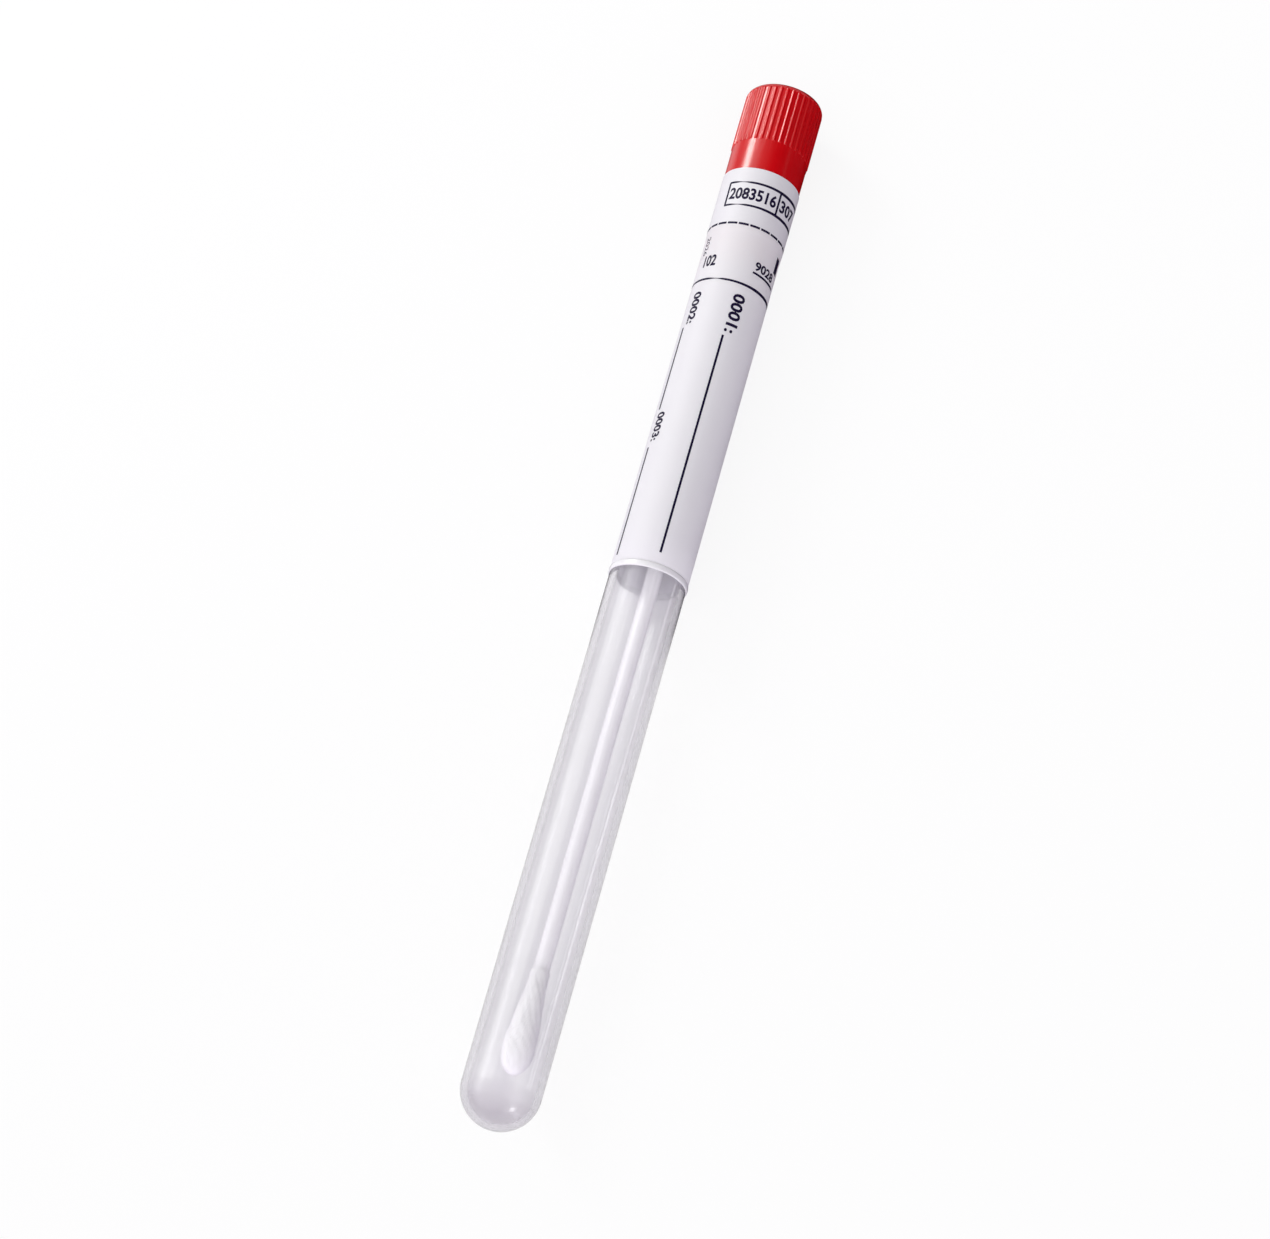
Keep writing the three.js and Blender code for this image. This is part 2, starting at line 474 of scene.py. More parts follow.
def ink():
    """Dark blue ink that lies a little thin in places."""
    made, tree, shader = material("ink")
    cover = noise(tree, 3000, detail=2)
    face = blended(tree, cover, (0.006, 0.003, 0.022), (0.014, 0.008, 0.040))
    tree.links.new(face, shader.inputs["Base Color"])
    shader.inputs["Specular IOR Level"].default_value = 0.15
    tree.links.new(between(tree, noise(tree, 120, detail=5), 0.42, 0.5), shader.inputs["Roughness"])
    return made


def white_plastic():
    """White polystyrene with fine drawn lines along it."""
    made, tree, shader = material("white_plastic")
    draw = noise(tree, 2200, stretch=(1, 0.02, 1), detail=4)
    face = blended(tree, draw, (0.975, 0.975, 0.975), (0.995, 0.995, 0.995))
    tree.links.new(face, shader.inputs["Base Color"])
    tree.links.new(between(tree, draw, 0.22, 0.32), shader.inputs["Roughness"])
    tree.links.new(bumped(tree, draw, 0.000006), shader.inputs["Normal"])
    shader.inputs["Subsurface Weight"].default_value = 0.8
    shader.inputs["Subsurface Radius"].default_value = (1, 1, 1)
    shader.inputs["Subsurface Scale"].default_value = 0.004
    return made


def cotton():
    """Matt wound cotton, fuzzy at its edges."""
    made, tree, shader = material("cotton")
    fibre = noise(tree, 2400, stretch=(1, 0.3, 1), detail=6, roughness=0.7)
    face = blended(tree, fibre, (0.96, 0.96, 0.96), (0.98, 0.98, 0.98))
    tree.links.new(face, shader.inputs["Base Color"])
    tree.links.new(bumped(tree, fibre, 0.00003), shader.inputs["Normal"])
    shader.inputs["Roughness"].default_value = 0.95
    shader.inputs["Specular IOR Level"].default_value = 0.15
    shader.inputs["Sheen Weight"].default_value = 0.3
    shader.inputs["Sheen Roughness"].default_value = 0.5
    shader.inputs["Subsurface Weight"].default_value = 0.35
    shader.inputs["Subsurface Radius"].default_value = (1, 1, 1)
    shader.inputs["Subsurface Scale"].default_value = 0.0008
    return made


CLEAR = clear_plastic()
RED = red_plastic()
# The cap behind the label's upper half stops the light that comes through its lower half.
FILM = label_film("label_film", (0.96, 0.957, 0.97), (0.975, 0.972, 0.982), glow_share=0.42)
BACKED_FILM = label_film("label_film_on_cap", (0.78, 0.775, 0.795), (0.80, 0.795, 0.81), glow_share=0.1)
HEM = rolled_film()
INK = ink()
WHITE = white_plastic()
COTTON = cotton()


def finished(piece, look, body, replaces=None):
    """Gives a piece its material, and says what it moves with and stands for."""
    piece.data.materials.append(look)
    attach(piece, body)
    if replaces:
        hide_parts(replaces)


# ------------------------------------------------------------------ the tube


def make_tube():
    middle = TUBE_RADIUS  # along, of both hemispheres
    outer_lip = MOUTH - MOUTH_ROUND
    profile = arc(0, middle, TUBE_RADIUS, -90, 0, 40)
    profile += straight((TUBE_RADIUS, middle), (TUBE_RADIUS, outer_lip), 24)
    profile += arc(TUBE_RADIUS - MOUTH_ROUND, outer_lip, MOUTH_ROUND, 0, 90, 6)[1:]
    profile += arc(BORE_RADIUS + MOUTH_ROUND, outer_lip, MOUTH_ROUND, 90, 180, 6)
    profile += straight((BORE_RADIUS, outer_lip), (BORE_RADIUS, middle), 24)
    profile += arc(0, middle, BORE_RADIUS, 0, -90, 40)[1:]
    piece = turned("tube_body_clear", profile, even_angles(144), crease=60)
    finished(piece, CLEAR, TUBE_BODY, "tube")


# ------------------------------------------------------------------ the cap


def cap_angles():
    """Columns round the cap, close together on each rib. A rib lies underneath."""
    half = math.degrees(RIB_WIDTH / 2 / BAND_RADIUS)
    pitch = 360 / RIB_COUNT
    on_rib = [half * share for share in (-1, -0.93, -0.75, -0.5, -0.38, 0, 0.38, 0.5, 0.75, 0.93, 1)]
    in_groove = [half + (pitch - 2 * half) * s for s in (0.25, 0.5, 0.75)]
    return np.array([180 + pitch * k + a for k in range(RIB_COUNT) for a in on_rib + in_groove])


def rib_height(angle):
    """How far the ribs stand out at an angle, on their full length: sloping flanks and a crowned back."""
    pitch = 360 / RIB_COUNT
    off = (angle - 180 + pitch / 2) % pitch - pitch / 2
    share = np.abs(np.radians(off) * BAND_RADIUS / (RIB_WIDTH / 2))
    flank = (1 - share) / (1 - RIB_BACK) * (1 - RIB_CROWN)
    back = 1 - RIB_CROWN * (share / RIB_BACK) ** 2
    return RIB_HEIGHT * np.clip(np.minimum(flank, back), 0, 1)


def edge_radius(along):
    """The radius of the grip's outer surface, with its rounded upper edge."""
    rise = np.clip(along - (CAP_TOP - TOP_ROUND), 0, TOP_ROUND)
    return GRIP_RADIUS - TOP_ROUND + np.sqrt(TOP_ROUND**2 - rise**2)


def ribbed(radius, angle, along):
    """Raises the ribs on the grip, with rounded ends at their feet."""
    share = np.clip((along - RIB_FOOT) / RIB_END, 0, 1)
    end = np.sqrt(share * (2 - share))
    on_grip = (along >= RIB_FOOT) & (along < RIM_FOOT) & (radius > BAND_RADIUS - 0.01)
    raised = np.minimum(BAND_RADIUS + rib_height(angle) * end, edge_radius(along))
    return np.where(on_grip, np.maximum(radius, raised), radius + 0 * angle)


def grip_profile():
    """The smooth band, the ribs' length and the rim, up to the middle of the top."""
    round_foot = CAP_TOP - TOP_ROUND
    profile = straight((SEAT_RADIUS, MOUTH + SEAT_ROUND), (BAND_RADIUS, RIB_FOOT), 6)
    profile += [(BAND_RADIUS, RIB_FOOT + rise) for rise in (0.015, 0.04, RIB_END)]
    profile += straight((BAND_RADIUS, RIB_FOOT + RIB_END), (BAND_RADIUS, round_foot), 7)
    profile += straight((BAND_RADIUS, round_foot), (BAND_RADIUS, RIM_FOOT - RIM_STEP), 3)
    step = edge_radius(RIM_FOOT) - BAND_RADIUS
    for share in (0.25, 0.5, 0.75):
        profile.append((BAND_RADIUS + step * share, RIM_FOOT - RIM_STEP * (1 - share) ** 2))
    rim_turn = math.degrees(math.asin((TOP_ROUND - RIM_HEIGHT) / TOP_ROUND))
    profile += arc(GRIP_RADIUS - TOP_ROUND, round_foot, TOP_ROUND, rim_turn, 90, 14)
    return profile + gate_mark()


def gate_mark():
    """The middle of the cap's top: a shallow round dish with a low stub in it."""
    dish = [(3.0, 0), (1.15, 0), (1.05, 0.05), (0.9, 0.12), (0.5, 0.13)]
    stub = [(0.4, 0.09), (0.3, 0.05), (0, 0.04)]
    return [(radius, CAP_TOP - depth) for radius, depth in dish + stub]


def plug_profile():
    """From the end of the shaft's socket, down inside the plug and up outside it to the cap's lower edge."""
    socket_foot = PLUG_END + HOLLOW_DEPTH
    socket_radius = SHAFT_RADIUS + SOCKET_CLEARANCE
    neck = SEAL_RADIUS - NECK_RELIEF
    seal_top = MOUTH - NECK_LENGTH
    neck_foot = seal_top + NECK_RELIEF
    profile = [(0, socket_foot + SOCKET_DEPTH), (socket_radius, socket_foot + SOCKET_DEPTH)]
    profile += [(socket_radius, socket_foot + 0.2), (socket_radius + 0.2, socket_foot)]
    profile += [(HOLLOW_RADIUS - 0.3, socket_foot), (HOLLOW_RADIUS, socket_foot - 0.3)]
    profile += arc(HOLLOW_RADIUS + HOLLOW_ROUND, PLUG_END + HOLLOW_ROUND, HOLLOW_ROUND, 180, 270, 5)
    profile += arc(SEAL_RADIUS - PLUG_ROUND, PLUG_END + PLUG_ROUND, PLUG_ROUND, -90, 0, 12)
    profile += [(SEAL_RADIUS, seal_top - 0.06), (SEAL_RADIUS - 0.02, seal_top)]
    profile += [(neck + 0.03, neck_foot - 0.03), (neck, neck_foot + 0.03)]
    profile += [(neck, MOUTH - 0.12), (neck + 0.03, MOUTH - 0.04), (neck + 0.1, MOUTH)]
    profile += [(SEAT_RADIUS - SEAT_ROUND - 0.3, MOUTH)]
    profile += arc(SEAT_RADIUS - SEAT_ROUND, MOUTH + SEAT_ROUND, SEAT_ROUND, -90, 0, 8)
    return profile


def make_cap():
    piece = turned("cap_moulding", plug_profile() + grip_profile(), cap_angles(), ribbed, crease=50)
    finished(piece, RED, CAP_BODY, "cap")


# ------------------------------------------------------------------ the label


def cap_band_radius(along):
    """The radius of the cap's smooth band."""
    return SEAT_RADIUS + BAND_DRAFT * (along - MOUTH) / BAND_HEIGHT


def wrap_inner(along):
    """The inside of the tube's half, which swells to meet the cap's half at the joint."""
    flare = smooth((along - (WRAP_TOP - FLARE_LENGTH)) / FLARE_LENGTH)
    return TUBE_RADIUS + LABEL_CLEARANCE + flare * (SEAT_RADIUS - TUBE_RADIUS)


def wrap_outer(along):
    """The outside of the tube's half: the rolled edge's round back, a pressed line above it and the sheet."""
    hem = np.clip((along - WRAP_FOOT) / HEM_WIDTH, 0, 1)
    back = np.sqrt(hem * (1 - hem)) * 2
    edge = (1 - smooth(hem / HEM_EDGE)) * LABEL_THICKNESS / 2
    half = CREASE_WIDTH / 2
    crease = 1 - np.clip(np.abs(along - WRAP_FOOT - HEM_WIDTH - half) / half, 0, 1)
    return wrap_inner(along) + LABEL_THICKNESS + HEM_RISE * back - edge - CREASE_DEPTH * crease


def band_inner(along):
    """The inside of the cap's half."""
    return cap_band_radius(along) + LABEL_CLEARANCE


def band_outer(along):
    """The outside of the cap's half."""
    return band_inner(along) + LABEL_THICKNESS


def in_slit(angle):
    """1 in the perforation's cuts and 0 on the bridges between them, of which one is near the front."""
    pitch = 360 / SLITS
    half = math.degrees(BRIDGE / 2 / PRINT_RADIUS)
    off = np.abs((angle - FRONT + BRIDGE_OFF + pitch / 2) % pitch - pitch / 2)
    return smooth((off - half) / SLIT_END + 0.5)


def ragged(angle, seed):
    """A fine uneven edge, which closes on itself, from -1 to 1."""
    dice = random.Random(seed)
    total = 0 * angle
    for waves in (37, 61, 97, 151):
        wave = np.sin(np.radians(angle * waves) + dice.uniform(0, 6.28))
        total = total + wave * dice.uniform(0.15, 0.3)
    return total


def sheet_angles():
    """Columns round the label, from where its lower end starts to where its upper end laps over it."""
    end = SEAM + 360 + math.degrees(LAP / PRINT_RADIUS)
    return np.arange(SEAM, end + 0.01, COLUMN_STEP)


def lap_lift(angle, gap):
    """How far the sheet is raised by what it laps over."""
    ramp = math.degrees(LAP_RAMP / PRINT_RADIUS)
    return gap * smooth((angle - (SEAM + 360 - ramp)) / ramp)


def wound_sheet(name, rows, inner, outer, torn_row, torn_away, seed):
    """The label's sheet, wound once round. torn_row is the row of its torn edge, and torn_away is 1 or -1,
    the way that its cuts lie back from the torn line."""
    angle = sheet_angles()[None, :]
    along = np.array(rows, float)[:, None] + 0 * angle
    low, high = inner(along), outer(along)
    lift = lap_lift(angle, high - low + LAP_CLEARANCE)
    torn = SLIT_DEPTH * in_slit(angle[0]) + FRAY * ragged(angle[0], seed)
    along[torn_row] += torn_away * torn
    inside = placed(low + lift, angle, along)
    outside = placed(high + lift, angle, along)
    vertices = np.concatenate([outside.reshape(-1, 3), inside.reshape(-1, 3)])
    return new_piece(name, vertices, sheet_faces(*along.shape), crease=40)


def sheet_faces(rows, columns):
    """The quads of a sheet's outside, which comes first, of its inside, and of the edges between them."""
    total = rows * columns
    faces = []
    for i in range(rows - 1):
        for j in range(columns - 1):
            a = i * columns + j
            quad = (a, a + 1, a + columns + 1, a + columns)
            faces.append(quad)
            faces.append(tuple(total + v for v in reversed(quad)))
    border = list(range(columns))
    border += [i * columns + columns - 1 for i in range(1, rows)]
    border += [total - 1 - j for j in range(1, columns)]
    border += [i * columns for i in range(rows - 2, 0, -1)]
    for a, b in zip(border, border[1:] + border[:1]):
        faces.append((a, b, total + b, total + a))
    return faces


def make_label():
    hem_top = WRAP_FOOT + HEM_WIDTH
    flare_foot = WRAP_TOP - FLARE_LENGTH
    hem_steps = 14
    wrap_rows = []
    for k in range(hem_steps + 1):
        wrap_rows.append(WRAP_FOOT + HEM_WIDTH * (1 - math.cos(math.pi * k / hem_steps)) / 2)
    wrap_rows += [hem_top + CREASE_WIDTH / 2, hem_top + CREASE_WIDTH]
    wrap_rows += list(np.arange(hem_top + 5, flare_foot - 1, 5))
    wrap_rows += list(np.linspace(flare_foot, WRAP_TOP - 0.3, 8)) + [WRAP_TOP]
    wrap = wound_sheet("label_on_tube", wrap_rows, wrap_inner, wrap_outer, -1, -1, seed=3)
    finished(wrap, FILM, TUBE_BODY, "label_tube_wrap")
    wrap.data.materials.append(HEM)
    for face in wrap.data.polygons:
        face.material_index = int(along_of(face.center.y) < hem_top)
    band_rows = [BAND_FOOT, BAND_FOOT + 0.3] + list(np.linspace(BAND_FOOT + 1, BAND_TOP, 8))
    band = wound_sheet("label_on_cap", band_rows, band_inner, band_outer, 0, 1, seed=4)
    finished(band, BACKED_FILM, CAP_BODY, "label_cap_band")


# ------------------------------------------------------------------ the print


def across(degrees):
    """Millimetres round the label's face, from the line that faces the camera."""
    return math.radians(degrees) * PRINT_RADIUS


def ring_width(angle):
    """How wide the lines round the label are: thinned at one place as a painted highlight, where the key
    lamp's highlight lies on the film, and bolder to the right of the front.
    """
    # painted highlight: the lines lose width where the highlight on the film would wash the ink out
    highlight_thinning = float(smooth(1 - abs(angle - HIGHLIGHT_THINNING_ANGLE) / HIGHLIGHT_THINNING_REACH))
    bold = float(smooth((angle + 10) / 60))
    return LINE - HIGHLIGHT_THINNING_LOSS * highlight_thinning + BOLD_GAIN * bold


class Layout:
    """Flat shapes in millimetres: x round the label from its front line, y up from the mouth."""

    def __init__(self):
        self.flat = bmesh.new()

    def outline(self, corners):
        self.flat.faces.new([self.flat.verts.new((x, y, 0)) for x, y in corners])

    def block(self, left, right, foot, top):
        """A filled rectangle. Its sides are in degrees and its ends are heights."""
        a, b = across(left), across(right)
        self.outline([(a, foot), (b, foot), (b, top), (a, top)])

    def ring_line(self, left, right, height, share=1.0):
        """A line part of the way round, as wide as ring_width says, or a share of that."""
        angles = np.linspace(left, right, math.ceil((right - left) / RING_STEP) + 1)
        for a, b in zip(angles, angles[1:]):
            half_a, half_b = share * ring_width(a) / 2, share * ring_width(b) / 2
            foot = [(across(a), height - half_a), (across(b), height - half_b)]
            top = [(across(b), height + half_b), (across(a), height + half_a)]
            self.outline(foot + top)

    def long_line(self, angle, foot, top, width=LINE):
        half = math.degrees(width / 2 / PRINT_RADIUS)
        self.block(angle - half, angle + half, foot, top)

    def figures(self, text, left, right, foot, top, upright=True, weight=0.03):
        """Plain figures that fill a rectangle. If not upright, they read down the tube."""
        points, faces = figure_shapes(text, weight)
        x0, x1, y0, y1 = across(left), across(right), foot, top
        corners = []
        for px, py in points:
            if upright:
                corners.append((x0 + px * (x1 - x0), y0 + py * (y1 - y0)))
            else:
                corners.append((x0 + py * (x1 - x0), y1 - px * (y1 - y0)))
        made = [self.flat.verts.new((x, y, 0)) for x, y in corners]
        for face in faces:
            self.flat.faces.new([made[i] for i in face])

    def wound(self, name, outer):
        """The shapes as thin raised ink on a surface whose radius is outer at a place along the tube."""
        flat = self.flat
        bmesh.ops.remove_doubles(flat, verts=flat.verts, dist=1e-5)
        xs = [v.co.x for v in flat.verts]
        for k in range(math.ceil(min(xs) / STRIP), math.floor(max(xs) / STRIP) + 1):
            everything = list(flat.verts) + list(flat.edges) + list(flat.faces)
            bmesh.ops.bisect_plane(flat, geom=everything, plane_co=(k * STRIP, 0, 0), plane_no=(1, 0, 0))
        flat.verts.ensure_lookup_table()
        flat.verts.index_update()
        x, y = np.array([(v.co.x, v.co.y) for v in flat.verts]).T
        angle, along = FRONT + np.degrees(x / PRINT_RADIUS), MOUTH + y
        top = placed(outer(along) + INK_HEIGHT, angle, along)
        root = placed(outer(along) - INK_DEPTH, angle, along)
        count = len(x)
        faces = []
        for face in flat.faces:
            ring = [v.index for v in face.verts]
            faces.append(tuple(ring))
            faces.append(tuple(count + v for v in reversed(ring)))
        for edge in flat.edges:
            if len(edge.link_faces) == 1:
                a, b = (v.index for v in edge.verts)
                faces.append((a, b, count + b, count + a))
        flat.free()
        return new_piece(name, np.concatenate([top, root]), faces, crease=30)


def figure_shapes(text, weight):
    """A line of figures as flat faces, scaled to fill a unit square."""
    curve = bpy.data.curves.new("figures", "FONT")
    curve.body = text
    curve.offset = weight
    curve.resolution_u = 3
    holder = bpy.data.objects.new("figures", curve)
    mesh = bpy.data.meshes.new_from_object(holder)
    points = np.array([v.co[:2] for v in mesh.vertices])
    faces = [tuple(p.vertices) for p in mesh.polygons]
    bpy.data.objects.remove(holder)
    bpy.data.curves.remove(curve)
    bpy.data.meshes.remove(mesh)
    low, high = points.min(0), points.max(0)
    return (points - low) / (high - low), faces


def dashes(layout, foot, top):
    """A strip of ink beside each of the perforation's cuts."""
    pitch = 360 / SLITS
    half = math.degrees(BRIDGE / 2 / PRINT_RADIUS)
    for k in range(-SLITS // 2 + 1, SLITS // 2 + 1):
        bridge = pitch * k - BRIDGE_OFF
        layout.block(bridge + half, bridge + pitch - half, foot, top)


def make_band_print():
    """A ruled box in two parts, both with figures, and the perforation's edge."""
    layout = Layout()
    box_foot, box_top = 3.4, 7.6
    layout.ring_line(-51, 110, box_top)
    layout.ring_line(-51, 110, box_foot)
    for side in (-50, 32, 110):
        layout.long_line(side, box_foot, box_top)
    layout.figures("2083516", -46, 28, box_foot + 1, box_top - 1)
    layout.figures("307", 36, 72, box_foot + 1, box_top - 1)
    dashes(layout, DASH_START, DASH_END)
    finished(layout.wound("print_on_cap", band_outer), INK, CAP_BODY)


def make_wrap_print():
    """The perforation's other edge, small codes below it, a line round the label and three ruled lines."""
    layout = Layout()
    dashes(layout, -DASH_END, -DASH_START)
    layout.figures("102", -61, -37, -7.9, -5.8)
    layout.figures("2026", -72, -62, -5.4, -2.0, upright=False, weight=0.0)
    layout.figures("9028", 24, 66, -7.1, -5.5)
    layout.ring_line(23, 74, -7.6, share=0.75)
    layout.block(64, 76, -5.1, -2.2)
    layout.ring_line(-110, 118, -10.3)
    layout.figures("0002:", -62, -46, -18.3, -12.5, upright=False)
    layout.figures("0001:", 4.5, 23.5, -19.2, -12.2, upright=False)
    layout.long_line(5.5, -58.4, -19.9)
    layout.long_line(-67.6, -33.5, -18.7, BOLD_LINE)
    layout.figures("0003:", -66.8, -49.8, -39.3, -34.2, upright=False)
    layout.long_line(-67.6, -59.1, -40.3, BOLD_LINE)
    finished(layout.wound("print_on_tube", wrap_outer), INK, TUBE_BODY)


# ------------------------------------------------------------------ the swab


def leaned(piece):
    """Bends a piece of the swab a little towards the tube's right side."""
    for vertex in piece.data.vertices:
        share = (LEAN_TOP - along_of(vertex.co.y)) / (LEAN_TOP - LEAN_FOOT)
        vertex.co.x += LEAN * MM * smooth(share)
    return piece


def make_shaft():
    foot, top = SHAFT_FOOT + SHAFT_ROUND, SHAFT_TOP - SHAFT_ROUND
    profile = [(0, SHAFT_FOOT)] + arc(SHAFT_RADIUS - SHAFT_ROUND, foot, SHAFT_ROUND, -90, 0, 5)
    profile += straight((SHAFT_RADIUS, foot), (SHAFT_RADIUS, top), 24)
    profile += arc(SHAFT_RADIUS - SHAFT_ROUND, top, SHAFT_ROUND, 0, 90, 5)[1:] + [(0, SHAFT_TOP)]
    piece = leaned(turned("shaft", profile, even_angles(48)))
    finished(piece, WHITE, CAP_BODY, "swab_shaft")


def bud_radius(height):
    """The bud's radius, from its tip upwards: a round nose and then a long taper."""
    nose = BUD_RADIUS * np.sqrt(np.clip(1 - (1 - np.clip(height / BUD_SHOULDER, 0, 1)) ** 2, 0, 1))
    share = np.clip((height - BUD_SHOULDER) / (BUD_LENGTH - BUD_SHOULDER), 0, 1)
    taper = BUD_END_RADIUS + (BUD_RADIUS - BUD_END_RADIUS) * (1 + np.cos(math.pi * share)) / 2
    return np.where(height < BUD_SHOULDER, nose, taper)


def winding(radius, angle, along):
    """The twisted windings of the cotton: broad soft turns and finer strands across them. They fade out
    towards its tip and its upper end."""
    height = along - BUD_TIP
    outside = radius > SHAFT_RADIUS + 0.1
    fade = np.clip(height / 1.5, 0, 1) * np.clip((BUD_LENGTH - height) / 2.0, 0.15, 1)
    turn = np.radians(angle)
    broad = np.sin(3 * turn + 1.15 * height + 0.6 * np.sin(2 * turn + 0.4 * height))
    strand = np.sin(11 * turn + 2.9 * height + 1.3 * np.sin(turn - 0.7 * height))
    fine = np.sin(29 * turn - 4.1 * height + 2.0 * np.sin(3 * turn + 0.9 * height))
    relief = 0.045 * broad + 0.022 * strand + 0.012 * fine - 0.05
    return np.where(outside, radius + relief * fade, radius + 0 * angle)


def make_bud():
    heights = list(BUD_SHOULDER * (1 - np.cos(np.radians(np.linspace(0, 90, 17)))))[:-1]
    heights += list(np.linspace(BUD_SHOULDER, BUD_LENGTH, 60))
    profile = [(0, BUD_TIP)] + [(float(bud_radius(h)), BUD_TIP + h) for h in heights[1:]]
    hollow = SHAFT_RADIUS + BUD_CLEARANCE
    hollow_end = BUD_TIP + COTTON_TIP - BUD_CLEARANCE
    profile += [(hollow, BUD_END), (hollow, hollow_end), (0, hollow_end)]
    piece = leaned(turned("cotton_bud", profile, even_angles(180), winding, crease=80))
    finished(piece, COTTON, CAP_BODY, "swab_bud")


def wisp(dice):
    """One loose fibre: points that leave the bud, bow out and come back to it."""
    start = dice.uniform(0.8, BUD_LENGTH - 0.6)
    angle, drift = dice.uniform(0, 360), dice.uniform(-38, 38)
    reach, rise = dice.uniform(0.6, 2.6), dice.uniform(0.06, 0.3)
    points = []
    for share in np.linspace(0, 1, WISP_POINTS):
        height = min(max(start + reach * (share - 0.5), 0.3), BUD_LENGTH)
        out = float(bud_radius(height)) - 0.07 + rise * math.sin(math.pi * share)
        points.append(placed(out, angle + drift * share, BUD_TIP + height))
    return points


def thread(points):
    """The corners of a thin three-sided thread, three to each of its points."""
    last = len(points) - 1
    aside = Vector((0.31, 0.2, 0.93))  # a direction that no fibre runs in
    corners = []
    for i, point in enumerate(points):
        run = (points[min(i + 1, last)] - points[max(i - 1, 0)]).normalized()
        side = run.cross(aside).normalized()
        for k in range(3):
            turn = Matrix.Rotation(math.tau / 3 * k, 3, run)
            corners.append(point + turn @ side * WISP_THICKNESS * MM)
    return corners


def make_wisps():
    """Loose fibres on the bud."""
    dice = random.Random(11)
    vertices, faces = [], []
    for _ in range(WISPS):
        first = len(vertices)
        vertices += thread([Vector(p) for p in wisp(dice)])
        end = len(vertices) - 3
        faces += ring_faces(WISP_POINTS, 3, first)
        faces += [(first + 2, first + 1, first), (end, end + 1, end + 2)]
    piece = leaned(new_piece("cotton_wisps", vertices, faces, crease=80))
    finished(piece, COTTON, CAP_BODY)


# ------------------------------------------------------------------ the studio


def aim(thing, place, target, long_side=(0, 1, 0)):
    """Puts a thing at a place, facing a target, with its own X along long_side as nearly as it can be."""
    back = (place - target).normalized()
    side = (Vector(long_side) - back * back.dot(Vector(long_side))).normalized()
    turn = Matrix((side, back.cross(side), back)).transposed()
    thing.matrix_world = Matrix.Translation(place) @ turn.to_4x4()


def softbox(name, target, direction, distance, length, width, brightness, tint=(1, 1, 1)):
    """A rectangular lamp that faces a target. Its length lies along the tube, and all are in metres."""
    data = bpy.data.lights.new(name, "AREA")
    data.shape = "RECTANGLE"
    data.size, data.size_y = length, width
    data.energy = math.pi * length * width * brightness
    data.color = tint
    lamp = bpy.data.objects.new(name, data)
    bpy.context.scene.collection.objects.link(lamp)
    aim(lamp, target + Vector(direction).normalized() * distance, target)
    lamp.visible_camera = False


SOFT_WHITE = (1.0, 1.01, 0.98)


def make_lamps():
    """The key is a bright core that the cap shows, in front of a wide dim panel that the whole tube shows.
    Two narrow lamps on the right light the cap's edge and draw a line on the tube's wall."""
    cap = Vector((AXIS_X, cad_high.y - 0.01, AXIS_Z))
    foot = Vector((AXIS_X, BOTTOM_Y + 0.02, AXIS_Z))
    softbox("key", cap, (-0.735, 0.46, 0.45), 0.7, 0.22, 0.19, brightness=13.0, tint=SOFT_WHITE)
    softbox("panel", MIDDLE, (-0.70, 0.35, 0.62), 0.75, 0.5, 0.6, brightness=0.93, tint=SOFT_WHITE)
    softbox("edge", cap, (0.748, 0.51, 0.42), 0.7, 0.2, 0.05, brightness=0.35)
    softbox("line", foot, (0.95, 0.29, 0.04), 0.7, 0.16, 0.035, brightness=6.0)


def background_rays(tree, kinds):
    """1 for the kinds of ray that show the background, and 0 for the rest, such as bounced light."""
    path = node(tree, "ShaderNodeLightPath")
    total = path.outputs["Is Camera Ray"]
    for kind in kinds:
        total = combined(tree, "MAXIMUM", total, path.outputs[kind])
    return total


def painted_shadow_in_reflections(tree, path):
    """How dark the table is in reflections, a painted shadow: black by the label and cap and to their right,
    where their shadow lies, and painted dim far to the left. It is 0 for every other ray."""
    place = place_in(tree)
    from_left = between(tree, place["X"], 0, 1, -0.016, -0.008)
    from_foot = between(tree, place["Y"], 0, 1, -0.010, -0.002)
    shaded = combined(tree, "MULTIPLY", from_left, from_foot)
    far_left = between(tree, place["X"], 0.6, 0, -0.05, -0.03)
    either = combined(tree, "MAXIMUM", shaded, far_left)
    glossy, through = path.outputs["Is Glossy Ray"], path.outputs["Is Transmission Ray"]
    reflected = combined(tree, "SUBTRACT", glossy, through, clamped=True)
    return combined(tree, "MULTIPLY", reflected, either)


def table_top():
    """A pale table. Under a white that only sets the background, it keeps its own shading and shadow."""
    made, tree, shader = material("floor")
    path = node(tree, "ShaderNodeLightPath")
    face = mixed(tree, path.outputs["Is Diffuse Ray"], (0.9, 0.9, 0.9), (0.49, 0.425, 0.545))
    tree.links.new(face, shader.inputs["Base Color"])
    shader.inputs["Roughness"].default_value = 0.9
    shader.inputs["Specular IOR Level"].default_value = 0.1
    # painted shadow: the table turns dark in reflections by the label and cap, and dim far to the left
    dark = painted_shadow_in_reflections(tree, path)
    white = node(tree, "ShaderNodeEmission")
    tree.links.new(between(tree, dark, 1, 0, 0, 1), white.inputs["Strength"])
    cover = between(tree, path.outputs["Is Transmission Ray"], 0.88, 0.1, 0, 1)
    shown = background_rays(tree, ("Is Glossy Ray", "Is Transmission Ray"))
    share = combined(tree, "ADD", combined(tree, "MULTIPLY", shown, cover), dark, clamped=True)
    show(tree, mixed_shader(tree, share, shader.outputs["BSDF"], white.outputs["Emission"]))
    return made


def make_floor():
    side = 3.0
    corners = [(-side, -side, 0), (side, -side, 0), (side, side, 0), (-side, side, 0)]
    mesh = bpy.data.meshes.new("floor")
    mesh.from_pydata(corners, [], [(0, 1, 2, 3)])
    mesh.materials.append(table_top())
    floor = bpy.data.objects.new("floor", mesh)
    bpy.context.scene.collection.objects.link(floor)


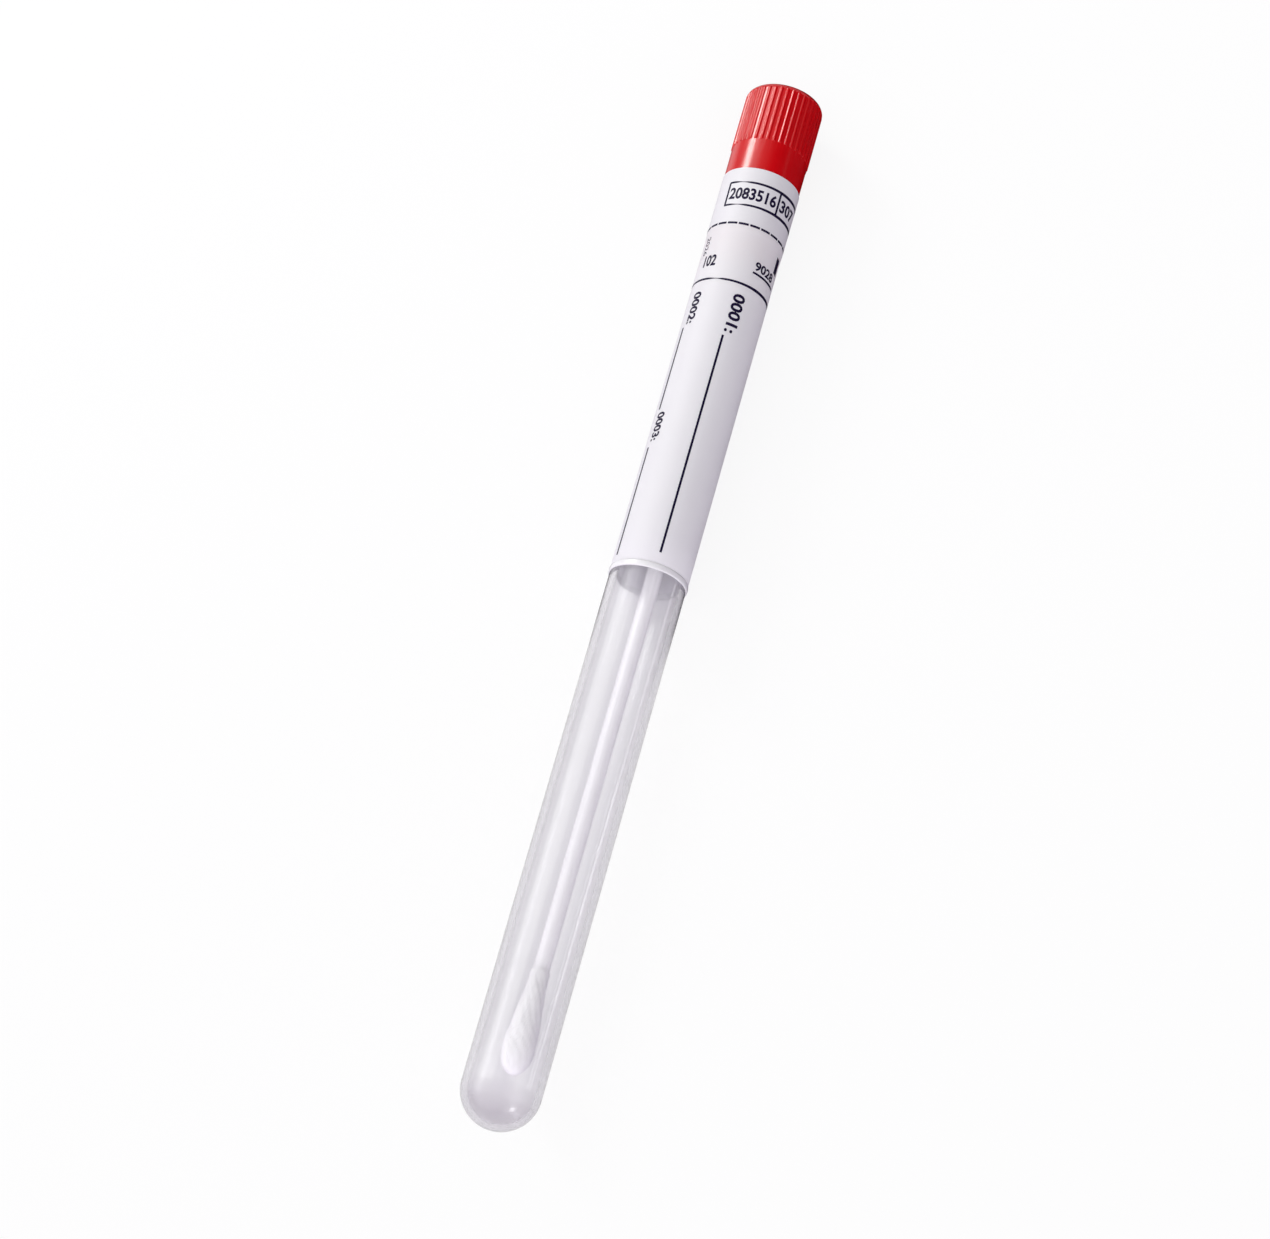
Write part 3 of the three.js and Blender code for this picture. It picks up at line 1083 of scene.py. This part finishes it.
def make_world():
    """A room that is bright behind the camera, dim on the left and dark on the right. Its horizon is white
    for the rays that show the background, and reflections see it pale beyond the cap, near the floor."""
    world = bpy.data.worlds.new("room")
    world.use_nodes = True
    bpy.context.scene.world = world
    tree = world.node_tree
    look = place_in(tree, "Generated")
    glossy = node(tree, "ShaderNodeLightPath").outputs["Is Glossy Ray"]
    rightward = between(tree, look["X"], 0, 1, -0.35, 0.25)
    sides = mixed(tree, rightward, (0.45, 0.46, 0.45), (0.025, 0.018, 0.03))
    low_gloss = combined(tree, "MULTIPLY", between(tree, look["Z"], 1, 0, 0.15, 0.3), glossy)
    beyond = combined(tree, "MULTIPLY", between(tree, look["Y"], 0, 1, 0.65, 0.85), low_gloss)
    back = mixed(tree, beyond, sides, (0.9, 0.9, 0.9))
    less_gloss = between(tree, glossy, 1, 0.3, 0, 1)
    front = combined(tree, "MULTIPLY", between(tree, look["Y"], 1, 0, -0.3, 0.1), less_gloss)
    room = mixed(tree, front, back, (1.55, 1.49, 1.59))
    low = between(tree, look["Z"], 1, 0.7, 0.2, 0.5)
    horizon = combined(tree, "MULTIPLY", background_rays(tree, ("Is Transmission Ray",)), low)
    tree.links.new(mixed(tree, horizon, room, (1, 1, 1)), tree.nodes["Background"].inputs["Color"])


def make_camera():
    """Above the tube and towards its foot, a little to the right, looking just below its middle."""
    azimuth, elevation = math.radians(14.73), math.radians(65.9)
    distance = 0.5715
    target = Vector((MIDDLE.x - 0.3 * MM, MIDDLE.y - 6.0 * MM, AXIS_Z))
    flat = math.cos(elevation)
    back = Vector((math.sin(azimuth) * flat, -math.cos(azimuth) * flat, math.sin(elevation)))
    data = bpy.data.cameras.new("camera")
    data.sensor_width = 36
    data.lens = 106.9
    camera = bpy.data.objects.new("camera", data)
    bpy.context.scene.collection.objects.link(camera)
    camera.location = target + back * distance
    camera.rotation_euler = (math.pi / 2 - elevation, 0, azimuth)
    bpy.context.scene.camera = camera


make_camera()
make_tube()
make_cap()
make_label()
make_band_print()
make_wrap_print()
make_shaft()
make_bud()
make_wisps()
make_lamps()
make_floor()
make_world()
bpy.context.scene.view_settings.view_transform = "Standard"
